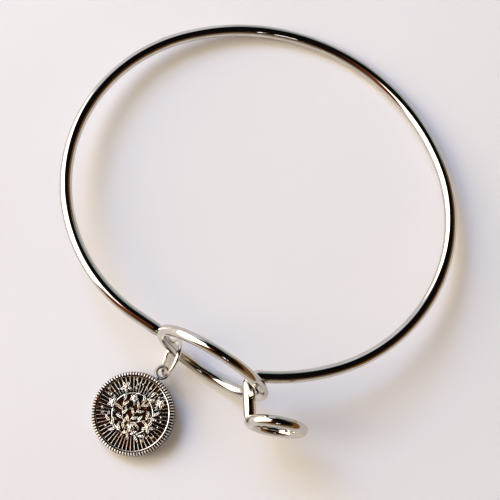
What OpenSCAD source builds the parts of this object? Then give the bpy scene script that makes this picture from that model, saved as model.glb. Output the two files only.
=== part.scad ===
// Wire bangle with a hook-and-eye closure and one hanging medallion charm, lying as it rests.
// Millimetres. The origin is on the floor under the middle of the whole, X runs along the
// oval's long axis, -Y points to the closure and +Z is up. The hoop leans: its far side and
// the foot of the eye ring touch the floor.

/* [Hoop] */
// Outside length of the oval hoop
hoop_l = 65.4; // [65:0.1:66]
// Outside width of the oval hoop, towards the closure
hoop_w = 59.5; // [59.2:0.1:59.7]
// Diameter of the hoop wire
wire_d = 2; // [1.7:0.1:2]

/* [Closure] */
// Outside diameter of the eye ring
eye_d = 20.2; // [20.2:0.1:20.8]
// Diameter of the wire of both rings
ring_wire_d = 1.8; // [1.6:0.1:1.9]
// Turn of the eye ring about its upright axis, in degrees
eye_turn = -3.5; // [-4.5:0.5:-2.5]
// Outside diameter of the end ring on the hook
end_d = 10; // [9:0.5:10]
// Turn of the end ring about its upright axis, in degrees
end_turn = 18; // [15:1:21]
// Bend radius of the hook at the middle of the wire
hook_r = 1.6; // [1.5:0.1:1.7]

/* [Jump ring] */
// Outside diameter of the jump ring
jump_d = 6.8; // [6.6:0.1:7]
// Wire diameter of the jump ring
jump_wire_d = 0.7; // [0.6:0.05:0.75]

/* [Medallion] */
// Diameter over the wall
medal_d = 13.6; // [13.2:0.1:14]
// Thickness over the rim
medal_t = 1.7; // [1.6:0.1:2]
// Tilt as it rests on one side of its foot, in degrees
medal_tilt = 7.5; // [4:0.5:9]
// Number of reeds on the rim
reeds = 88; // [60:1:96]
// Number of rays on the face
rays = 54; // [36:1:60]

/* [Hidden] */
$fn = 96;

wire_r = wire_d / 2;
ring_r = ring_wire_d / 2;
eye_r = eye_d / 2 - ring_r;
end_r = end_d / 2 - ring_r;

function polar(angle) = [cos(angle), sin(angle)];
function bearing(v) = atan2(v[1], v[0]);

// The oval is drawn from four centres, and its arcs meet on the diagonals
half_l = hoop_l / 2 - wire_r;
half_w = hoop_w / 2 - wire_r;
centre_span = (half_l - half_w) / (sqrt(2) - 1);
centre_off = centre_span / sqrt(2);
tight_r = half_l - centre_off;
wide_r = tight_r + centre_span;
left_mid = [-centre_off, 0];
right_mid = [centre_off, 0];
far_mid = [0, -centre_off];
near_mid = [0, centre_off];

// Middles of the two rings in the hoop's own plane
eye_mid = [6, -27.6];
end_mid = [19.4, -31.7];

// Lean at which the far side of the hoop and the foot of the eye ring both touch the floor
foot_run = half_w - eye_mid[1];
lean = asin((ring_r - wire_r) / norm([foot_run, eye_r])) + atan2(eye_r, foot_run);
hoop_z = wire_r + half_w * sin(lean);
// Medallion's middle in front of the hoop's, and the hoop's behind the origin
medal_out = 39.9;
hoop_y = (medal_out + medal_d / 2 - half_w * cos(lean) - wire_r) / 2;

// Left end of the wire: a straight run, square to the oval's left arc, to the eye ring
eye_left = eye_mid - eye_r * polar(eye_turn);
run_reach = norm(eye_left - left_mid);
run_at = bearing(eye_left - left_mid) - acos(tight_r / run_reach);
run_start = left_mid + tight_r * polar(run_at);

// Right end: the wire passes behind the eye ring, bends out through it and carries the end ring
end_left = end_mid - end_r * polar(end_turn);
corner_x = 11.8;
corner = [corner_x, centre_off - sqrt(pow(wide_r, 2) - pow(corner_x, 2))];
stem_at = bearing(end_left - corner);
stem_side = polar(stem_at + 90);
// The bend's middle lies a bend radius from the stem's line and from the oval's near arc
bend_base = end_left + hook_r * stem_side - near_mid;
bend_half = bend_base * polar(stem_at);
bend_back = bend_half - sqrt(pow(bend_half, 2) - bend_base * bend_base + pow(wide_r + hook_r, 2));
bend_mid = end_left + hook_r * stem_side - bend_back * polar(stem_at);
near_stop = bearing(bend_mid - near_mid);
stem_top = bend_mid - hook_r * stem_side;

// The wire narrows over this length where it is soldered to a ring
taper_l = 1.2;
taper_r = ring_r - 0.15;
run_taper = eye_left - taper_l * polar(run_at + 90);
stem_taper = end_left - taper_l * polar(stem_at);

// Lengths of wire stop short of each other inside a thin solder sleeve
sleeve_r = wire_r + 0.04;
sleeve_l = 0.4;
sleeve_trim = 0.04;
// Columns: middle of the joint, bearing of the wire there
sleeves = [
    [run_taper, run_at + 90],
    [run_start, run_at + 90],
    [left_mid + tight_r * polar(135), 225],
    [right_mid + tight_r * polar(45), 135],
    [right_mid + tight_r * polar(-45), 45],
    [near_mid + wide_r * polar(near_stop), near_stop + 90],
    [stem_top, stem_at],
    [stem_taper, stem_at]];

// Medallion: a smooth wall, reeds on top of it, a thin rim line inside them, and a sunk field
// with rays and a thin ring line
medal_r = medal_d / 2;
rim_wire_r = 0.2;
edge_t = medal_t - rim_wire_r;
foot_t = 0.25;
wall_t = 0.9;
core_r = medal_r - 0.5;
reed_in = core_r + 0.05;
reed_out = medal_r - 0.04;
reed_z = edge_t - 0.1;
rim_r = medal_r - 0.7;
field_r = rim_r - 0.05;
field_z = edge_t - 0.3;
sunk = 0.05;
line_r = 3.33;
line_wire_r = 0.13;
ray_in = line_r + 0.3;
ray_out = field_r - 0.1;
ray_h = 0.22;
ray_fill = 0.55;
medal_mid = [-1.8, hoop_y - medal_out];
medal_turn = 82;
// Bearing of the side that the tilt raises, and the height that this gives the middle of the back
tilt_way = 20;
tilt_dir = [cos(tilt_way), sin(tilt_way), 0];
medal_lift = core_r * sin(medal_tilt);

// Medallion's eye, cast in one with it
loop_r = 0.95;
loop_wire_r = 0.25;
loop_out = medal_r + 1.3;
loop_z = 1.2;
neck_r = 0.36;

// Sprigs of the relief. Columns: start x, start y, heading, length, turn along it, leaves
sprigs = [
    [ 0.6, -3.9,  100, 8.0,  -25, 12],
    [ 0.2, -2.2,  150, 4.2,  -45,  6],
    [ 0.6, -1.3,   33, 4.1,   36,  6],
    [ 0.5, -3.3,  195, 3.0,  -40,  4],
    [ 0.6, -2.9,   -5, 2.5,   40,  4]];
leaf_l = 1.45;
leaf_w = 0.62;
leaf_angle = 46;
leaf_back = 0.3;
stem_w = 0.22;
stem_h = 0.38;
leaf_h = 0.46;
// Blossoms of the relief. Columns: x, y, petal length
blossoms = [
    [-3.3,  2.9, 1.15],
    [ 3.4, -0.3, 1.20],
    [-3.7, -0.4, 0.95],
    [ 2.9,  3.9, 0.90]];
petals = 5;
petal_w = 0.72;
petal_h = 0.42;

// Jump ring: it joins the medallion's eye to the eye ring. Its middle lies along jump_way from
// the medallion's eye, in radii of its middle line
jump_wire_r = jump_wire_d / 2;
jump_r = jump_d / 2 - jump_wire_r;
jump_way = [0.092, 0.957, 0.4];
jump_lean = 21.5;
jump_turn = 7.5;
loop_dir = [cos(medal_turn), sin(medal_turn), 0];
loop_rise = loop_out * (loop_dir * tilt_dir);
loop_mid = [medal_mid[0], medal_mid[1], medal_lift] + loop_out * loop_dir
    + (loop_rise * (cos(medal_tilt) - 1) - loop_z * sin(medal_tilt)) * tilt_dir
    + [0, 0, loop_rise * sin(medal_tilt) + loop_z * cos(medal_tilt)];
jump_mid = loop_mid + jump_r * jump_way;

// Turns what is drawn flat in the hoop's own plane into the leaning pose
module leaning() {
    translate([0, hoop_y, hoop_z]) rotate([-lean, 0, 0]) children();
}

// Arc of wire from one bearing to another, short of both by the sleeve's trim
module wire_arc(mid, radius, from, to) {
    trim = sleeve_trim / radius * 180 / PI;
    translate(mid) rotate([0, 0, from + trim])
        rotate_extrude(angle = to - from - 2 * trim) translate([radius, 0]) circle(wire_r);
}

// Straight wire between two points in the XY plane, short of the ends by the given trims
module wire_run(start, stop, r_start, r_stop, trim_start, trim_stop) {
    way = bearing(stop - start);
    translate(start + trim_start * polar(way)) rotate([0, 90, way])
        cylinder(h = norm(stop - start) - trim_start - trim_stop, r1 = r_start, r2 = r_stop);
}

// Upright ring whose middle is in the hoop's plane
module standing_ring(mid, turn, radius) {
    translate(mid) rotate([0, 0, turn]) rotate([90, 0, 0])
        rotate_extrude() translate([radius, 0]) circle(ring_r);
}

module bangle_frame() {
    color("silver") leaning() {
        wire_run(run_taper, run_start, wire_r, wire_r, sleeve_trim, sleeve_trim);
        wire_arc(left_mid, tight_r, 135, 360 + run_at);
        wire_arc(far_mid, wide_r, 45, 135);
        wire_arc(right_mid, tight_r, -45, 45);
        wire_arc(near_mid, wide_r, near_stop, -45);
        wire_arc(bend_mid, hook_r, near_stop + 180, stem_at + 270);
        wire_run(stem_top, stem_taper, wire_r, wire_r, sleeve_trim, sleeve_trim);
        for (s = sleeves) translate(s[0]) rotate([0, 90, s[1]])
            cylinder(h = sleeve_l, r = sleeve_r, center = true);
        wire_run(eye_left, run_taper, taper_r, wire_r, 0, sleeve_trim);
        wire_run(end_left, stem_taper, taper_r, wire_r, 0, sleeve_trim);
        standing_ring(eye_mid, eye_turn, eye_r);
        standing_ring(end_mid, end_turn, end_r);
    }
}

module jump_ring() {
    color("lightgray") translate(jump_mid) rotate([0, 90 + jump_lean, jump_turn])
        rotate_extrude() translate([jump_r, 0]) circle(jump_wire_r);
}

// Pointed leaf or petal lying along +X from the origin
module leaf(length, width, height) {
    translate([0, 0, field_z - sunk]) linear_extrude(height + sunk)
        polygon([for (side = [1, -1], i = [0:5])
            let (k = side == 1 ? i / 6 : 1 - i / 6)
            [length * k, side * width / 2 * sin(180 * pow(k, 0.8))]]);
}

// Point and heading part of the way along a sprig
function sprig_at(s, k) = let (mid_turn = s[2] + s[4] * k / 2)
    [s[0] + s[3] * k * cos(mid_turn), s[1] + s[3] * k * sin(mid_turn), s[2] + s[4] * k];

module sprig(s) {
    steps = 8;
    translate([0, 0, field_z - sunk]) linear_extrude(stem_h + sunk)
        polygon([for (side = [1, -1], i = [0:steps])
            let (at = sprig_at(s, (side == 1 ? i : steps - i) / steps))
            [at[0] - side * stem_w / 2 * sin(at[2]), at[1] + side * stem_w / 2 * cos(at[2])]]);
    for (i = [1:s[5]]) {
        at = sprig_at(s, (i - leaf_back) / s[5]);
        turn = i == s[5] ? 0 : (i % 2 == 0 ? 1 : -1) * leaf_angle;
        translate([at[0], at[1], 0]) rotate([0, 0, at[2] + turn])
            leaf(leaf_l, leaf_w, leaf_h + 0.02 * (i % 3));
    }
}

module blossom(b) {
    for (i = [0:petals - 1])
        translate([b[0], b[1], 0]) rotate([0, 0, 360 / petals * i + 18])
            leaf(b[2], petal_w, petal_h + 0.03 * (i % 2));
    translate([b[0], b[1], field_z + 0.25]) sphere(r = 0.3, $fn = 24);
}

module ray(at) {
    half = 180 / rays * ray_fill;
    translate([0, 0, field_z - sunk]) linear_extrude(ray_h + sunk)
        polygon([ray_in * polar(at - half), ray_out * polar(at - half),
            ray_out * polar(at + half), ray_in * polar(at + half)]);
}

module reeds_on_wall() {
    translate([0, 0, wall_t - 0.05]) linear_extrude(reed_z - wall_t + 0.05)
        polygon([for (i = [0:reeds - 1], k = [0:3])
            (k < 2 ? reed_out : reed_in) * polar(360 / reeds * (i + [0.1, 0.4, 0.6, 0.9][k]))]);
}

// Medallion in its own frame: back on the XY plane, eye towards +Y
module coin() {
    difference() {
        union() {
            cylinder(h = edge_t, r = core_r);
            translate([0, 0, foot_t]) cylinder(h = wall_t - foot_t, r = medal_r);
            reeds_on_wall();
        }
        translate([0, 0, field_z]) cylinder(h = medal_t, r = field_r);
    }
    translate([0, 0, edge_t]) rotate_extrude() translate([rim_r, 0]) circle(rim_wire_r);
    translate([0, 0, field_z + 0.04]) rotate_extrude() translate([line_r, 0])
        circle(line_wire_r);
    for (i = [0:rays - 1]) ray(360 / rays * i);
    for (s = sprigs) sprig(s);
    for (b = blossoms) blossom(b);
    translate([0, loop_out, loop_z]) rotate_extrude() translate([loop_r, 0])
        circle(loop_wire_r);
    translate([0, medal_r - 0.6, loop_z]) rotate([-90, 0, 0])
        cylinder(h = loop_out - loop_r - medal_r + 0.6, r = neck_r);
}

module medallion() {
    color("gray") translate([medal_mid[0], medal_mid[1], medal_lift])
        rotate(a = medal_tilt, v = [tilt_dir[1], -tilt_dir[0], 0])
        rotate([0, 0, medal_turn - 90]) coin();
}

bangle_frame();
jump_ring();
medallion();
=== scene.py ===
"""Wire bangle with a hook-and-eye closure and one medallion, lying on a pale table in window light."""

import math

import bpy
import numpy as np
from mathutils import Matrix, Vector


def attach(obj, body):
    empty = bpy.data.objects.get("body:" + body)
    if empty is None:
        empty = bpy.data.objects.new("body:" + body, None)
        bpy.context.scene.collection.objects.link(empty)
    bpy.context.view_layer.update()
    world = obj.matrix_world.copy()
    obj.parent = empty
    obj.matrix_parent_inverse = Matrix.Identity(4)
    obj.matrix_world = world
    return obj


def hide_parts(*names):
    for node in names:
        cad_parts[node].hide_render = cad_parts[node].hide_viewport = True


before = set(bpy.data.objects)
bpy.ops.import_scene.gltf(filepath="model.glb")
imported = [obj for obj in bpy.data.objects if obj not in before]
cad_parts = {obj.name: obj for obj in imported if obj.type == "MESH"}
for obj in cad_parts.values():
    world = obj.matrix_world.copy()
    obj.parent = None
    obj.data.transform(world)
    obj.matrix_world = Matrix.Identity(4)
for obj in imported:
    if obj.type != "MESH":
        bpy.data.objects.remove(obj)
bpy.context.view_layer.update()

# Sizes are in millimetres and are turned to metres where a mesh is made
MM = 0.001

# Hoop: an oval drawn from four centres in its own plane, with its length and width outside
HOOP_L = 65.4
HOOP_W = 59.5
WIRE_R = 1.0
# Eye ring and end ring: radius to the wire's middle, middle in the hoop's plane, and the bearing
# that each runs along as it stands
RING_WIRE_R = 0.9
EYE_R = 9.2
EYE_MID = np.array([6.0, -27.6])
EYE_TURN = -3.5
END_R = 4.1
END_MID = np.array([19.4, -31.7])
END_TURN = 18.0
# Hook: its bend, and the x of the place on the oval that its stem points away from
HOOK_R = 1.6
CORNER_X = 11.8
# The wire narrows over this length, to this radius, where it is soldered to a ring
TAPER_L = 1.2
TAPER_R = RING_WIRE_R - 0.15

# Wire meshes: sides of thick and thin wire, rows along a taper and a straight run, and the
# distance between rows round the oval and round the hook
WIRE_SIDES = 40
THIN_SIDES = 24
TAPER_ROWS = 4
RUN_ROWS = 8
BEND_STEP = 0.35
HOOK_STEP = 0.12

# Medallion: its radius, thickness and foot, its place from the hoop's middle, the bearing of its
# eye, and how far it tilts and the bearing that it rises to
MEDAL_R = 6.8
MEDAL_T = 1.7
CORE_R = MEDAL_R - 0.5
MEDAL_OUT = 39.9
MEDAL_X = -1.8
MEDAL_TURN = 82.0
MEDAL_TILT = 7.5
TILT_WAY = 20.0
# Its eye, and the neck that joins it to the edge
LOOP_R = 0.95
LOOP_WIRE_R = 0.25
LOOP_OUT = MEDAL_R + 1.3
LOOP_Z = 1.2
NECK_IN = MEDAL_R - 0.6
NECK_R = 0.36
NECK_TAPER = 0.08
# Jump ring: the way from the medallion's eye to its middle is in shares of its radius
JUMP_WIRE_R = 0.35
JUMP_R = 3.05
JUMP_WAY = Vector((0.092, 0.957, 0.4))
JUMP_LEAN = 21.5
JUMP_TURN = 7.5

# Medallion's edge: a plain wall with reeds above it
EDGE_T = MEDAL_T - 0.2
WALL_T = 0.9
REEDS = 88
REED_SECTORS = 8
REED_HALF = 0.36
REED_FROM = CORE_R - 0.06
REED_FOOT = WALL_T + 0.12
REED_TOP = EDGE_T + 0.12
REED_DROP = 0.25
REED_DROP_FROM = MEDAL_R - 0.3
REED_DROP_RUN = 0.26

# Medallion's face: a round rim, rays and a thin ring line on a sunk field
FIELD_Z = EDGE_T - 0.3
RIM_R = MEDAL_R - 0.7
RIM_WIRE_R = 0.2
FIELD_R = RIM_R - 0.05
LINE_R = 3.33
LINE_WIRE_R = 0.13
LINE_RISE = 0.1
RAYS = 54
RAY_HALF = 0.23
RAY_H = 0.24
RAY_IN = LINE_R + 0.15
RAY_OUT = FIELD_R - 0.05
RAY_FADE = 0.12

# Rows of the face's mesh, closer together across the rim: first radius, last radius, how many
FACE_ROWS = [(0.04, RIM_R - 0.26, 95), (RIM_R - 0.21, CORE_R, 11), (CORE_R + 0.04, MEDAL_R - 0.04, 8)]

# Relief sprigs: start x, start y, heading, length, turn along it, leaves
SPRIGS = [
    [0.6, -3.9, 100, 8.0, -25, 12],
    [0.2, -2.2, 150, 4.2, -45, 6],
    [0.6, -1.3, 33, 4.1, 36, 6],
    [0.5, -3.3, 195, 3.0, -40, 4],
    [0.6, -2.9, -5, 2.5, 40, 4]]
STEM_R = 0.12
STEM_H = 0.38
STEM_STEPS = 60
LEAF_L = 1.45
LEAF_W = 0.62
LEAF_H = 0.5
LEAF_H_STEP = 0.02
LEAF_ANGLE = 46
# A leaf grows from a little before the end of its share of the sprig
LEAF_BACK = 0.3
# Finer sprigs that fill the ground between them, with small leaves
FINE_SPRIGS = [
    [-0.6, -3.2, 128, 6.4, 20, 9], [2.0, -2.8, 70, 5.6, 25, 8], [-1.8, -1.2, 75, 4.8, -50, 7],
    [1.8, 0.8, 100, 4.2, 40, 6], [-2.6, -2.6, 160, 2.6, 30, 4], [3.0, -2.6, 10, 2.2, 50, 3],
    [-0.4, 1.2, 60, 3.6, -30, 5], [-1.0, 2.6, 110, 2.6, 30, 4], [1.9, 3.0, 80, 2.2, -30, 3]]
FINE_LEAF_L = 0.95
FINE_LEAF_W = 0.44
FINE_LEAF_H = 0.32
# A leaf is widest nearer its base. Its edge's height and its veins' depths are shares of its height
LEAF_SWELL = 0.8
LEAF_EDGE = 0.25
VEIN_R = 0.06
VEIN_DEPTH = 0.4
SIDE_VEINS = 5
SIDE_VEIN_SLANT = 0.8
SIDE_VEIN_FROM = 0.2
SIDE_VEIN_DEPTH = 0.12
# Buds: x, y
BUDS = [
    [-4.4, 1.3], [-4.1, 1.9], [-4.6, 0.6], [4.6, 1.6], [4.2, 2.2], [4.7, 0.6], [1.6, 4.9], [2.1, 4.6],
    [-1.9, 4.4], [-1.3, 4.8], [-2.4, -4.0], [3.4, -3.2], [0.2, 5.0], [0.9, 4.6]]
BUD_R = 0.24
BUD_H = 0.4
# Blossoms: x, y, petal length
BLOSSOMS = [
    [-3.3, 2.9, 1.15], [3.4, -0.3, 1.2], [-3.7, -0.4, 0.95], [2.9, 3.9, 0.9], [-1.2, 2.2, 0.8],
    [1.15, -1.95, 0.75]]
PETALS = 5
PETAL_TURN = 18
PETAL_W = 0.72
PETAL_H = 0.46
PETAL_H_STEP = 0.03
HEART_R = 0.3
HEART_FOOT = 0.25
HEART_DOME = 0.3

# How much of the stain is wiped off the medallion: by height above the field, so that the rays are
# half wiped and the leaves nearly clean, and then the ring line, the rim, the reeds and their
# grooves. A share over 1 is scuffed to satin
WIPED_HEIGHTS = [0.17, 0.23, RAY_H + 0.05, RAY_H + 0.19]
WIPED_SHARES = [0.0, 0.5, 0.5, 0.95]
WIPED_LINE = 0.75
WIPED_RIM = 0.9
WIPED_REED = 1.7
WIPED_GROOVE = -0.1
# The ring line is wiped across this share of its width, and the rim on its inner side, from a height
LINE_SHARE = 0.8
FLANK_R = RIM_R - 0.02
FLANK_FROM = EDGE_T + 0.05
FLANK_FADE = 0.1
# The rim is painted brighter towards one bearing: a painted highlight where its inner side faces the window
# light, and painted shade on the far side. The reeds are darker on the half away from that bearing
PAINTED_LIGHT_WAY = -30
RIM_PAINTED_LIGHT = 0.5
RIM_PAINTED_LIGHT_SWING = 0.6
RIM_PAINTED_LIGHT_LEAST = 0.2
REED_BEARING_SWING = 0.5
# How much of the stain is left on the eye, the neck and the back
EYE_RECESS = 0.68
NECK_RECESS = 0.8
BACK_RECESS = 0.35
# The casting skin's grain adds to the stain, less what wiping takes off everywhere
GRAIN_STAIN = 0.4
EVEN_WIPING = -0.11
# Below the reeds, the wall, the foot and the back: radius, height, how much stain is left
EDGE_ROWS = [
    (MEDAL_R, WALL_T, 0.6), (MEDAL_R, 0.3, 0.5), (MEDAL_R - 0.04, 0.25, 0.7),
    (CORE_R + 0.04, 0.25, 0.9), (CORE_R, 0.21, 0.9), (CORE_R, 0.04, 0.4),
    (CORE_R - 0.04, 0.0, 0.3), (3.0, 0.0, BACK_RECESS)]

# Camera: a short telephoto almost straight above the table. Its azimuth is the way to the picture's right
CAMERA_AT = Vector((19.6, -31.73, 264.45)) * MM
CAMERA_TARGET = Vector((2.54, 0.62, 5.0)) * MM
CAMERA_LENS = 117.15
CAMERA_SENSOR = 36
CAMERA_NEAR = 0.01
CAMERA_AZIMUTH = math.radians(27.81)

# What the metal mirrors. Bearings are those in the picture, counted from its right, in degrees. The
# room's colours run from low down to overhead, and its shade comes lower towards one bearing
ROOM_STOPS = [(0.0, "#a89a86"), (0.2, "#7f6549"), (0.42, "#3c2816"), (0.6, "#1a120c"), (1.0, "#0f0c0e")]
SHADE_WAY = 75
SHADE_SLANT = 0.35
# Panes: middle bearing, half width, sines of the lower and upper edge, colour, strength
PANES = [
    (0, 55, -0.1, 0.5, "#8a6238", 0.9),      # brown wall
    (75, 38, -0.1, 0.5, "#8fa0a3", 1.3),     # grey sky
    (112, 24, -0.1, 0.6, "#cdd2e0", 1.35),   # paler sky
    (198, 22, 0.05, 0.985, "#a0532c", 0.7),  # russet curtain
    (160, 26, 0.05, 0.985, "#1c2a55", 0.6),  # navy blind above the window
    (166, 38, 0.04, 0.91, "#fff8ec", 6.0)]   # window
PANE_SOFT = 0.035
PANE_EDGE_SOFT = 0.025
# Small lamps: bearing, height in degrees
LAMPS = [(258, 51), (262, 52), (265, 51.5), (274, 53)]
LAMP_HALF = 1.2
LAMP_SOFT = 0.0001
LAMP_COLOUR = "#f4f2ff"
LAMP_STRENGTH = 12.0

# What lights the table: even air, and two soft lights whose shadows tint each other. From here on
# sizes are in metres
AIR_COLOUR = "#f4e3ce"
AIR_STRENGTH = 0.38
LIGHT_DISTANCE = 1.2
# Lights: name, bearing, height in degrees, side, watts, linear colour
LIGHTS = [
    ("sky_light", 122, 46, 0.56, 8.5, (0.28, 0.52, 1.0)),
    ("window_light", 164, 36, 1.07, 16.3, (1.0, 0.89, 0.66))]
TABLE_REACH = 3.0


def polar(angle):
    """Unit vector in the plane at a bearing in degrees."""
    return np.array([math.cos(math.radians(angle)), math.sin(math.radians(angle))])


def bearing(way):
    """Bearing in degrees of a way in the plane."""
    return math.degrees(math.atan2(way[1], way[0]))


def moved(x, y, z):
    """Matrix of a move in millimetres."""
    return Matrix.Translation((x * MM, y * MM, z * MM))


def turned(angle, axis):
    """Matrix of a turn in degrees."""
    return Matrix.Rotation(math.radians(angle), 4, axis)


# The oval's arcs: two tight ones at its ends and two wide ones along its sides
half_l = HOOP_L / 2 - WIRE_R
half_w = HOOP_W / 2 - WIRE_R
centre_span = (half_l - half_w) / (math.sqrt(2) - 1)
centre_off = centre_span / math.sqrt(2)
tight_r = half_l - centre_off
wide_r = tight_r + centre_span
left_mid = np.array([-centre_off, 0.0])
right_mid = np.array([centre_off, 0.0])
far_mid = np.array([0.0, -centre_off])
near_mid = np.array([0.0, centre_off])

# Lean at which the far side of the hoop and the foot of the eye ring both touch the table
foot_run = half_w - EYE_MID[1]
lean = math.asin((RING_WIRE_R - WIRE_R) / math.hypot(foot_run, EYE_R)) + math.atan2(EYE_R, foot_run)
hoop_z = WIRE_R + half_w * math.sin(lean)
hoop_y = (MEDAL_OUT + MEDAL_R - half_w * math.cos(lean) - WIRE_R) / 2
LEANING = moved(0, hoop_y, hoop_z) @ Matrix.Rotation(-lean, 4, "X")

# Left end: a straight run, square to the left arc, to the eye ring
eye_left = EYE_MID - EYE_R * polar(EYE_TURN)
run_at = bearing(eye_left - left_mid) - math.degrees(
    math.acos(tight_r / np.linalg.norm(eye_left - left_mid)))

# Right end: the hook's bend through the eye ring, its stem and the end ring
end_left = END_MID - END_R * polar(END_TURN)
corner = np.array([CORNER_X, centre_off - math.sqrt(wide_r ** 2 - CORNER_X ** 2)])
stem_at = bearing(end_left - corner)
stem_side = polar(stem_at + 90)
bend_base = end_left + HOOK_R * stem_side - near_mid
bend_half = bend_base @ polar(stem_at)
bend_back = bend_half - math.sqrt(bend_half ** 2 - bend_base @ bend_base + (wide_r + HOOK_R) ** 2)
bend_mid = end_left + HOOK_R * stem_side - bend_back * polar(stem_at)
near_stop = bearing(bend_mid - near_mid)

# Medallion's place: it leans on one side of its foot
tilt_axis = Vector((math.sin(math.radians(TILT_WAY)), -math.cos(math.radians(TILT_WAY)), 0))
medal_lift = CORE_R * math.sin(math.radians(MEDAL_TILT))
COIN = (moved(MEDAL_X, hoop_y - MEDAL_OUT, medal_lift) @ turned(MEDAL_TILT, tilt_axis)
        @ turned(MEDAL_TURN - 90, "Z"))


def linear(hex_colour):
    """Linear RGBA of an sRGB hex colour."""
    parts = [int(hex_colour[i:i + 2], 16) / 255 for i in (1, 3, 5)]
    return (*[c / 12.92 if c <= 0.04045 else ((c + 0.055) / 1.055) ** 2.4 for c in parts], 1.0)


def add_node(tree, kind, settings=(), links=()):
    """Adds a node. settings gives its properties, its sockets, or a colour ramp's stops as (place, hex
    colour) pairs. links joins outputs to its sockets. A socket goes by its name or its number."""
    made = tree.nodes.new(kind)
    for name, value in dict(settings).items():
        if name == "stops":
            elements = made.color_ramp.elements
            while len(elements) < len(value):
                elements.new(0.5)
            for element, (place, colour) in zip(elements, value):
                element.position = place
                element.color = linear(colour)
        elif isinstance(name, str) and hasattr(made, name):
            setattr(made, name, value)
        else:
            made.inputs[name].default_value = value
    for name, source in dict(links).items():
        tree.links.new(source, made.inputs[name])
    return made


def new_material(name):
    """Empty material, its node tree and the place on the object that its patterns follow."""
    material = bpy.data.materials.new(name)
    material.use_nodes = True
    tree = material.node_tree
    tree.nodes.clear()
    return material, tree, add_node(tree, "ShaderNodeTexCoord").outputs["Object"]


def scale_of(size):
    """Scale of a pattern whose patches are about this many millimetres across."""
    return 1 / (size * MM)


def polished_plate(name, bright, shade, roughness):
    """Rhodium plate over drawn and buffed brass wire: a near-mirror whose only marks are faint
    buffing lines and a slight change of tone, so that it shows the room more than itself."""
    material, tree, place = new_material(name)
    # Buffing leaves patches of about 4 mm. Its real lines are too fine to show, so they are drawn
    # 0.25 mm apart
    patches = add_node(tree, "ShaderNodeTexNoise", {"Scale": scale_of(4), "Detail": 3.0}, {"Vector": place})
    lines = add_node(tree, "ShaderNodeTexNoise", {"Scale": scale_of(0.25), "Detail": 2.0},
                     {"Vector": place}).outputs["Fac"]
    tone = add_node(tree, "ShaderNodeValToRGB", {"stops": [(0.35, shade), (0.65, bright)]},
                    {"Fac": patches.outputs["Fac"]})
    rough = add_node(tree, "ShaderNodeMapRange", {
        "From Min": 0.3, "From Max": 0.7, "To Min": roughness * 0.7, "To Max": roughness * 1.4},
        {"Value": lines})
    bump = add_node(tree, "ShaderNodeBump", {"Strength": 0.03, "Distance": 0.02 * MM}, {"Height": lines})
    metal = add_node(tree, "ShaderNodeBsdfPrincipled", {"Metallic": 1.0}, {
        "Base Color": tone.outputs["Color"], "Roughness": rough.outputs["Result"],
        "Normal": bump.outputs["Normal"]})
    add_node(tree, "ShaderNodeOutputMaterial", links={"Surface": metal.outputs["BSDF"]})
    return material


def antiqued_casting():
    """Cast silver-toned alloy, dipped in a sulphide bath and wiped: the bath stays black-brown in
    every recess, and the wiped tops are bright and slightly worn."""
    material, tree, place = new_material("antiqued_casting")
    # This attribute holds the stain left in recesses, and round the rim also painted highlight and painted
    # shade
    recess = add_node(tree, "ShaderNodeAttribute", {"attribute_name": "recess"}).outputs["Fac"]
    # Casting skin has grains of about 0.15 mm, and the bath's stain drifts over about 1.5 mm
    skin = add_node(tree, "ShaderNodeTexNoise", {"Scale": scale_of(0.15), "Detail": 2.0},
                    {"Vector": place}).outputs["Fac"]
    drift = add_node(tree, "ShaderNodeTexNoise", {"Scale": scale_of(1.5), "Detail": 2.0},
                     {"Vector": place}).outputs["Fac"]
    grain = add_node(tree, "ShaderNodeMath", {
        "operation": "MULTIPLY_ADD", 1: GRAIN_STAIN, 2: EVEN_WIPING}, {0: skin})
    depth = add_node(tree, "ShaderNodeMath", {"operation": "ADD", "use_clamp": True},
                     {0: recess, 1: grain.outputs["Value"]}).outputs["Value"]
    wiped = add_node(tree, "ShaderNodeValToRGB", {"stops": [(0.35, "#e0d5c8"), (0.65, "#f0f1f4")]},
                     {"Fac": drift})
    stained = add_node(tree, "ShaderNodeValToRGB", {
        "stops": [(0.3, "#3a190a"), (0.5, "#150b07"), (0.75, "#0e1016")]}, {"Fac": drift})
    # Sockets 6 and 7 are the two colours to mix, and output 2 is the mixed one
    colour = add_node(tree, "ShaderNodeMix", {"data_type": "RGBA"}, {
        0: depth, 6: wiped.outputs["Color"], 7: stained.outputs["Color"]})
    # The stain is a dull black that swallows grazing light too
    edge = add_node(tree, "ShaderNodeValToRGB", {"stops": [(0.0, "#ffffff"), (0.9, "#241f1c")]},
                    {"Fac": depth})
    dull = add_node(tree, "ShaderNodeMapRange", {"To Min": 0.1, "To Max": 0.24}, {"Value": depth})
    # The reeds' crests are scuffed satin, marked by a recess below zero
    scuffed = add_node(tree, "ShaderNodeMapRange", {
        "From Min": -0.5, "From Max": 0.0, "To Min": 0.35, "To Max": 0.0}, {"Value": recess})
    rough = add_node(tree, "ShaderNodeMath", {"operation": "ADD"},
                     {0: dull.outputs["Result"], 1: scuffed.outputs["Result"]})
    bump = add_node(tree, "ShaderNodeBump", {"Strength": 0.28, "Distance": 0.05 * MM}, {"Height": skin})
    metal = add_node(tree, "ShaderNodeBsdfPrincipled", {"Metallic": 1.0}, {
        "Base Color": colour.outputs[2], "Specular Tint": edge.outputs["Color"],
        "Roughness": rough.outputs["Value"], "Normal": bump.outputs["Normal"]})
    add_node(tree, "ShaderNodeOutputMaterial", links={"Surface": metal.outputs["BSDF"]})
    return material


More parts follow.
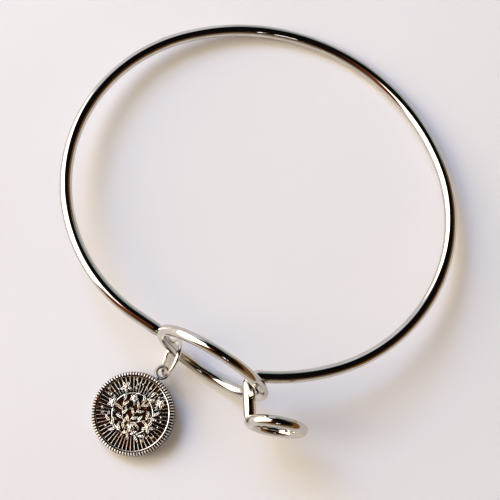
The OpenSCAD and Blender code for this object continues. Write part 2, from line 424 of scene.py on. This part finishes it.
def mesh_piece(name, points, faces, matrix, material, node):
    """Smooth-shaded piece from points in millimetres, placed by a matrix, that stands for a node."""
    mesh = bpy.data.meshes.new(name)
    mesh.from_pydata([tuple(p) for p in np.asarray(points, float) * MM], [], faces)
    mesh.transform(matrix)
    mesh.shade_smooth()
    mesh.materials.append(material)
    piece = bpy.data.objects.new(name, mesh)
    bpy.context.scene.collection.objects.link(piece)
    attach(piece, "root")
    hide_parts(node)
    return piece


def set_recess_and_painted_light(piece, values):
    """How much stain each point of the casting keeps, and round the rim also painted highlight and painted
    shade.
    """
    attribute = piece.data.attributes.new("recess", "FLOAT", "POINT")
    attribute.data.foreach_set("value", np.asarray(values, np.float32))


def tube(line, sides, closed):
    """Points and faces of round wire along rows of (x, y, outward x, outward y, radius) in a plane."""
    rows = np.asarray(line, float)
    turn = np.arange(sides) * 2 * math.pi / sides
    across = rows[:, 4, None] * np.cos(turn)
    points = np.stack([
        rows[:, 0, None] + rows[:, 2, None] * across,
        rows[:, 1, None] + rows[:, 3, None] * across,
        rows[:, 4, None] * np.sin(turn)], axis=2).reshape(-1, 3)
    count = len(rows)
    faces = []
    for k in range(count if closed else count - 1):
        here, there = k * sides, (k + 1) % count * sides
        for i in range(sides):
            j = (i + 1) % sides
            faces.append((here + i, here + j, there + j, there + i))
    if not closed:
        faces.append(tuple(reversed(range(sides))))
        faces.append(tuple(range((count - 1) * sides, count * sides)))
    return points, faces


def arc_rows(mid, radius, start, stop, wire_r, step=BEND_STEP):
    """Rows of a wire arc, from one bearing to another; a row's outward way is to its right."""
    count = max(4, int(abs(radius * math.radians(stop - start)) / step))
    way = 1 if stop > start else -1
    rows = []
    for angle in np.linspace(start, stop, count + 1):
        out = polar(angle)
        rows.append([*(mid + radius * out), *(way * out), wire_r])
    return rows


def straight_rows(start, stop, r_start, r_stop, count):
    """Rows of a straight length of wire that may narrow."""
    ahead = (stop - start) / np.linalg.norm(stop - start)
    right = np.array([ahead[1], -ahead[0]])
    return [[*(start + (stop - start) * k), *right, r_start + (r_stop - r_start) * k]
            for k in np.linspace(0, 1, count + 1)]


def ring_rows(radius, wire_r, step):
    """Rows of a closed round ring, a step of degrees apart."""
    return [[*(radius * polar(angle)), *polar(angle), wire_r] for angle in np.arange(0, 360, step)]


def hoop_wire(material):
    """The hoop's wire from its soldered left end, round the oval, to the hook's soldered end. The
    oval's arcs meet at 45 degrees."""
    run_start = left_mid + tight_r * polar(run_at)
    run_taper = eye_left - TAPER_L * polar(run_at + 90)
    stem_top = bend_mid - HOOK_R * stem_side
    stem_taper = end_left - TAPER_L * polar(stem_at)
    line = straight_rows(eye_left, run_taper, TAPER_R, WIRE_R, TAPER_ROWS)
    line += straight_rows(run_taper, run_start, WIRE_R, WIRE_R, RUN_ROWS)[1:]
    line += arc_rows(left_mid, tight_r, 360 + run_at, 135, WIRE_R)[1:]
    line += arc_rows(far_mid, wide_r, 135, 45, WIRE_R)[1:]
    line += arc_rows(right_mid, tight_r, 45, -45, WIRE_R)[1:]
    line += arc_rows(near_mid, wide_r, -45, near_stop, WIRE_R)[1:]
    line += arc_rows(bend_mid, HOOK_R, near_stop + 180, stem_at + 270, WIRE_R, HOOK_STEP)[1:]
    line += straight_rows(stem_top, stem_taper, WIRE_R, WIRE_R, RUN_ROWS)[1:]
    line += straight_rows(stem_taper, end_left, WIRE_R, TAPER_R, TAPER_ROWS)[1:]
    points, faces = tube(line, WIRE_SIDES, closed=False)
    mesh_piece("hoop_wire", points, faces, LEANING, material, "bangle_frame")


def standing_ring(name, mid, turn, radius, material):
    """Upright ring whose middle is in the hoop's plane."""
    points, faces = tube(ring_rows(radius, RING_WIRE_R, step=2.0), WIRE_SIDES, closed=True)
    place = LEANING @ moved(mid[0], mid[1], 0) @ turned(turn, "Z") @ turned(90, "X")
    mesh_piece(name, points, faces, place, material, "bangle_frame")


def jump_ring(material):
    """Round ring through the medallion's eye and the eye ring, clear of both."""
    points, faces = tube(ring_rows(JUMP_R, JUMP_WIRE_R, step=3.0), THIN_SIDES, closed=True)
    middle = COIN @ Vector((0, LOOP_OUT * MM, LOOP_Z * MM)) + JUMP_WAY * JUMP_R * MM
    place = Matrix.Translation(middle) @ turned(JUMP_TURN, "Z") @ turned(90 + JUMP_LEAN, "Y")
    mesh_piece("jump_ring_wire", points, faces, place, material, "jump_ring")


def dome(share):
    """Height of a round back at a share of its half width: 1 on its crown and 0 at its edge."""
    return np.sqrt(np.clip(1 - share ** 2, 0, 1))


def leaf_height(x, y, base, heading, length, width, height):
    """Height of a cupped, veined leaf that grows from base along heading."""
    ahead = polar(heading)
    along = ((x - base[0]) * ahead[0] + (y - base[1]) * ahead[1]) / length
    aside = (y - base[1]) * ahead[0] - (x - base[0]) * ahead[1]
    # The last term keeps the leaf's two ends from dividing by zero
    half = width / 2 * np.sin(math.pi * np.clip(along, 0, 1) ** LEAF_SWELL) + 1e-6
    across = np.abs(aside) / half
    cup = LEAF_EDGE + (1 - LEAF_EDGE) * dome(across)
    vein = 1 - VEIN_DEPTH * np.exp(-(aside / VEIN_R) ** 2)
    ripple = np.cos((along * SIDE_VEINS - across * SIDE_VEIN_SLANT) * 2 * math.pi)
    side_veins = 1 - SIDE_VEIN_DEPTH * (ripple > SIDE_VEIN_FROM)
    return np.where((along > 0) & (along < 1) & (across < 1), height * cup * vein * side_veins, 0.0)


def sprig_at(sprig, k):
    """Point and heading part of the way along a sprig."""
    start_x, start_y, heading, length, turn, _ = sprig
    return np.array([start_x, start_y]) + length * k * polar(heading + turn * k / 2), heading + turn * k


def leaves_of(sprig):
    """Number, base and heading of each leaf: on either side by turns, and the last one straight on."""
    leaves = sprig[-1]
    for i in range(1, leaves + 1):
        at, heading = sprig_at(sprig, (i - LEAF_BACK) / leaves)
        side = 0 if i == leaves else (1 if i % 2 == 0 else -1)
        yield i, at, heading + side * LEAF_ANGLE


def relief_height(x, y):
    """Height of the sprigs, buds and blossoms above the field."""
    high = np.zeros_like(x)
    for sprig in SPRIGS:
        for k in np.linspace(0, 1, STEM_STEPS):
            at, _ = sprig_at(sprig, k)
            high = np.maximum(high, STEM_H * dome(np.hypot(x - at[0], y - at[1]) / STEM_R))
        for i, at, heading in leaves_of(sprig):
            high = np.maximum(high, leaf_height(
                x, y, at, heading, LEAF_L, LEAF_W, LEAF_H + LEAF_H_STEP * (i % 3)))
    for sprig in FINE_SPRIGS:
        for _, at, heading in leaves_of(sprig):
            high = np.maximum(high, leaf_height(
                x, y, at, heading, FINE_LEAF_L, FINE_LEAF_W, FINE_LEAF_H))
    for bud_x, bud_y in BUDS:
        high = np.maximum(high, BUD_H * dome(np.hypot(x - bud_x, y - bud_y) / BUD_R))
    for mid_x, mid_y, length in BLOSSOMS:
        for i in range(PETALS):
            high = np.maximum(high, leaf_height(
                x, y, (mid_x, mid_y), 360 / PETALS * i + PETAL_TURN, length, PETAL_W,
                PETAL_H + PETAL_H_STEP * (i % 2)))
        near = np.hypot(x - mid_x, y - mid_y) / HEART_R
        high = np.maximum(high, np.where(near > 1, 0, HEART_FOOT + HEART_DOME * dome(near)))
    return high


def reed_crown(angle):
    """Share of its full height that a reed of the edge has at an angle in radians."""
    return dome(((angle * REEDS / (2 * math.pi)) % 1 - 0.5) / REED_HALF)


def medallion_face(radius, angle):
    """Height of the face above the back at a radius and an angle in radians."""
    ray = RAY_H * dome(((angle * RAYS / (2 * math.pi)) % 1 - 0.5) / RAY_HALF)
    ends = np.clip((radius - RAY_IN) / RAY_FADE, 0, 1) * np.clip((RAY_OUT - radius) / RAY_FADE, 0, 1)
    line = np.sqrt(np.clip(LINE_WIRE_R ** 2 - (radius - LINE_R) ** 2, 0, None))
    height = FIELD_Z + np.maximum(ray * ends, np.where(line > 0, LINE_RISE + line, 0))
    height = np.maximum(height, FIELD_Z + relief_height(radius * np.cos(angle), radius * np.sin(angle)))
    drop = REED_DROP * np.clip((radius - REED_DROP_FROM) / REED_DROP_RUN, 0, 1) ** 2
    reed = REED_FOOT + (REED_TOP - drop - REED_FOOT) * reed_crown(angle)
    height = np.where(radius > REED_FROM, reed, height)
    rim = np.sqrt(np.clip(RIM_WIRE_R ** 2 - np.clip(RIM_R - radius, 0, None) ** 2, 0, None))
    return np.where((rim > 0) & (radius <= REED_FROM), np.maximum(height, EDGE_T + rim), height)


def medallion_stain_and_painted_light(radius, angle, height):
    """How much of the stain is left on the face at a radius, an angle in radians and a height, with painted
    highlight and painted shade round the rim that follow the angle.
    """
    wiped = np.interp(height - FIELD_Z, WIPED_HEIGHTS, WIPED_SHARES)
    on_line = np.abs(radius - LINE_R) < LINE_SHARE * LINE_WIRE_R
    wiped = np.where(on_line, np.maximum(wiped, WIPED_LINE), wiped)
    # Painted light: round the rim, a painted highlight towards one bearing and painted shade away from it
    toward_light = np.cos(angle - math.radians(PAINTED_LIGHT_WAY))
    flank = (radius < FLANK_R) * np.clip((height - FLANK_FROM) / FLANK_FADE, 0, 1)
    rim = WIPED_RIM * flank * np.clip(RIM_PAINTED_LIGHT + RIM_PAINTED_LIGHT_SWING * toward_light, RIM_PAINTED_LIGHT_LEAST, 1)
    wiped = np.where(radius < FIELD_R, wiped, rim)
    reed = (WIPED_REED + REED_BEARING_SWING * np.minimum(toward_light, 0)) * reed_crown(angle) + WIPED_GROOVE
    return 1 - np.where(radius > REED_FROM, reed, wiped)


def medallion(material):
    """One casting: relief face on a polar mesh, smooth wall, stepped foot and plain back."""
    sectors = REEDS * REED_SECTORS
    radii = np.concatenate([np.linspace(first, last, count) for first, last, count in FACE_ROWS])
    turn = np.arange(sectors) * 2 * math.pi / sectors
    radius, angle = np.meshgrid(radii, turn, indexing="ij")
    height = medallion_face(radius, angle)
    # Stain left on the face, with painted highlight and painted shade round the rim
    stain_and_painted_light = medallion_stain_and_painted_light(radius, angle, height)
    radius, height, stain_and_painted_light = [
        np.vstack([face] + [np.full((1, sectors), row[k]) for row in EDGE_ROWS])
        for k, face in enumerate((radius, height, stain_and_painted_light))]
    rows = len(radius)
    angle = np.tile(turn, (rows, 1))
    points = np.stack([radius * np.cos(angle), radius * np.sin(angle), height], axis=2)
    points = points.reshape(-1, 3).tolist()
    top, bottom = len(points), len(points) + 1
    points += [[0, 0, float(height[0].mean())], [0, 0, 0]]
    faces = []
    for k in range(rows - 1):
        for i in range(sectors):
            j = (i + 1) % sectors
            faces.append((k * sectors + i, (k + 1) * sectors + i, (k + 1) * sectors + j, k * sectors + j))
    for i in range(sectors):
        j = (i + 1) % sectors
        faces.append((top, i, j))
        faces.append((bottom, (rows - 1) * sectors + j, (rows - 1) * sectors + i))
    piece = mesh_piece("medallion_casting", points, faces, COIN, material, "medallion")
    set_recess_and_painted_light(piece, np.concatenate([stain_and_painted_light.ravel(), [stain_and_painted_light[0].mean(), BACK_RECESS]]))


def medallion_eye(material):
    """The eye cast on the medallion's top, with its neck, darker where it meets the rim."""
    points, faces = tube(ring_rows(LOOP_R, LOOP_WIRE_R, step=5.0), THIN_SIDES, closed=True)
    place = COIN @ moved(0, LOOP_OUT, LOOP_Z)
    ring = mesh_piece("medallion_eye", points, faces, place, material, "medallion")
    set_recess_and_painted_light(ring, [EYE_RECESS] * len(points))
    neck_out = LOOP_OUT - LOOP_R
    rows = [[0, NECK_IN + (neck_out - NECK_IN) * k, 1, 0, NECK_R - NECK_TAPER * k]
            for k in np.linspace(0, 1, RUN_ROWS + 1)]
    points, faces = tube(rows, THIN_SIDES, closed=False)
    place = COIN @ moved(0, 0, LOOP_Z)
    neck = mesh_piece("medallion_neck", points, faces, place, material, "medallion")
    set_recess_and_painted_light(neck, [NECK_RECESS] * len(points))


def table_top():
    """Painted board, sanded and rolled: matt, warm white, with barely visible cloudiness."""
    material, tree, place = new_material("painted_board")
    # Rolled paint clouds over about 60 mm
    clouds = add_node(tree, "ShaderNodeTexNoise", {"Scale": scale_of(60), "Detail": 2.0}, {"Vector": place})
    tone = add_node(tree, "ShaderNodeValToRGB", {"stops": [(0.3, "#e9e3e2"), (0.7, "#ede8e8")]},
                    {"Fac": clouds.outputs["Fac"]})
    paint = add_node(tree, "ShaderNodeBsdfPrincipled", {"Roughness": 0.75},
                     {"Base Color": tone.outputs["Color"]})
    add_node(tree, "ShaderNodeOutputMaterial", links={"Surface": paint.outputs["BSDF"]})
    mesh = bpy.data.meshes.new("table_top")
    mesh.from_pydata([
        (x * TABLE_REACH, y * TABLE_REACH, 0) for x, y in ((-1, -1), (1, -1), (1, 1), (-1, 1))],
        [], [(0, 1, 2, 3)])
    mesh.materials.append(material)
    floor = bpy.data.objects.new("table_top", mesh)
    bpy.context.scene.collection.objects.link(floor)


def image_way(angle, height):
    """Direction in the row frame of a bearing in the picture, counted from its right, and a height."""
    right = Vector((math.cos(CAMERA_AZIMUTH), math.sin(CAMERA_AZIMUTH), 0))
    up = Vector((-math.sin(CAMERA_AZIMUTH), math.cos(CAMERA_AZIMUTH), 0))
    flat = math.cos(math.radians(angle)) * right + math.sin(math.radians(angle)) * up
    return flat * math.cos(math.radians(height)) + Vector((0, 0, math.sin(math.radians(height))))


def laid_over(tree, below, edges, hex_colour, strength):
    """A glowing colour laid over what is below it, inside soft edges. An edge is a value, the limit
    that it is held to, how soft the edge is, and whether the colour lies above the limit."""
    mask = None
    for value, limit, soft, above in edges:
        edge = add_node(tree, "ShaderNodeMapRange", {
            "interpolation_type": "SMOOTHSTEP", "From Min": limit - soft, "From Max": limit + soft,
            "To Min": 0.0 if above else 1.0, "To Max": 1.0 if above else 0.0},
            {"Value": value}).outputs["Result"]
        if mask is not None:
            edge = add_node(tree, "ShaderNodeMath", {"operation": "MULTIPLY"},
                            {0: mask, 1: edge}).outputs["Value"]
        mask = edge
    light = add_node(tree, "ShaderNodeBackground", {"Color": linear(hex_colour), "Strength": strength})
    return add_node(tree, "ShaderNodeMixShader", links={
        0: mask, 1: below, 2: light.outputs["Background"]}).outputs["Shader"]


def studio_air():
    """World light. The table gets a little soft warm light from all round. What the metal mirrors
    is a room with a dark ceiling over the table, a tall window to its left between a russet curtain
    and grey sky, a brown wall to its right and small lamps over its near side."""
    world = bpy.data.worlds.new("studio")
    bpy.context.scene.world = world
    world.use_nodes = True
    tree = world.node_tree
    tree.nodes.clear()
    way = add_node(tree, "ShaderNodeTexCoord").outputs["Generated"]
    height = add_node(tree, "ShaderNodeSeparateXYZ", links={"Vector": way}).outputs["Z"]
    flat = add_node(tree, "ShaderNodeVectorMath", {"operation": "MULTIPLY", 1: (1, 1, 0)}, {0: way})
    flat = add_node(tree, "ShaderNodeVectorMath", {"operation": "NORMALIZE"}, {0: flat.outputs["Vector"]})

    # The ceiling's shade comes lower on the far side than over the near side
    far = add_node(tree, "ShaderNodeVectorMath", {
        "operation": "DOT_PRODUCT", 1: tuple(image_way(SHADE_WAY, 0))}, {0: way})
    shade = add_node(tree, "ShaderNodeMath", {"operation": "MULTIPLY_ADD", 1: SHADE_SLANT},
                     {0: far.outputs["Value"], 2: height})
    room = add_node(tree, "ShaderNodeValToRGB", {"stops": ROOM_STOPS}, {"Fac": shade.outputs["Value"]})
    mirrored = add_node(tree, "ShaderNodeBackground", links={
        "Color": room.outputs["Color"]}).outputs["Background"]
    for middle, half, low, high, colour, strength in PANES:
        across = add_node(tree, "ShaderNodeVectorMath", {
            "operation": "DOT_PRODUCT", 1: tuple(image_way(middle, 0))}, {0: flat.outputs["Vector"]})
        mirrored = laid_over(tree, mirrored, [
            (height, low, PANE_EDGE_SOFT, True), (height, high, PANE_EDGE_SOFT, False),
            (across.outputs["Value"], math.cos(math.radians(half)), PANE_SOFT, True)], colour, strength)
    for angle, up in LAMPS:
        toward = add_node(tree, "ShaderNodeVectorMath", {
            "operation": "DOT_PRODUCT", 1: tuple(image_way(angle, up))}, {0: way})
        mirrored = laid_over(tree, mirrored, [
            (toward.outputs["Value"], math.cos(math.radians(LAMP_HALF)), LAMP_SOFT, True)],
            LAMP_COLOUR, LAMP_STRENGTH)
    air = add_node(tree, "ShaderNodeBackground", {"Color": linear(AIR_COLOUR), "Strength": AIR_STRENGTH})
    rays = add_node(tree, "ShaderNodeLightPath")
    choose = add_node(tree, "ShaderNodeMixShader", links={
        0: rays.outputs["Is Glossy Ray"], 1: air.outputs["Background"], 2: mirrored})
    add_node(tree, "ShaderNodeOutputWorld", links={"Surface": choose.outputs["Shader"]})


def soft_light(name, way, side, watts, colour):
    """Soft square of daylight that the metal doesn't mirror itself."""
    lamp = bpy.data.lights.new(name, "AREA")
    lamp.shape = "SQUARE"
    lamp.size = side
    lamp.energy = watts
    lamp.color = colour
    light = bpy.data.objects.new(name, lamp)
    light.location = way * LIGHT_DISTANCE
    light.rotation_mode = "QUATERNION"
    light.rotation_quaternion = (-way).to_track_quat("-Z", "Y")
    light.visible_glossy = False
    bpy.context.scene.collection.objects.link(light)


wire_plate = polished_plate("rhodium_plated_wire", "#d2cdc4", "#c7c1b6", 0.05)
jump_plate = polished_plate("rhodium_plated_jump_wire", "#eee8da", "#ddd4c4", 0.09)
casting = antiqued_casting()
hoop_wire(wire_plate)
standing_ring("eye_ring", EYE_MID, EYE_TURN, EYE_R, wire_plate)
standing_ring("end_ring", END_MID, END_TURN, END_R, wire_plate)
jump_ring(jump_plate)
medallion(casting)
medallion_eye(casting)

table_top()
studio_air()
for name, angle, up, side, watts, colour in LIGHTS:
    soft_light(name, image_way(angle, up), side, watts, colour)

camera = bpy.data.objects.new("camera", bpy.data.cameras.new("camera"))
camera.data.lens = CAMERA_LENS
camera.data.sensor_width = CAMERA_SENSOR
camera.data.clip_start = CAMERA_NEAR
camera.location = CAMERA_AT
camera.rotation_mode = "QUATERNION"
camera.rotation_quaternion = (CAMERA_TARGET - CAMERA_AT).to_track_quat("-Z", "Y")
bpy.context.scene.collection.objects.link(camera)
bpy.context.scene.camera = camera
bpy.context.scene.view_settings.view_transform = "Standard"
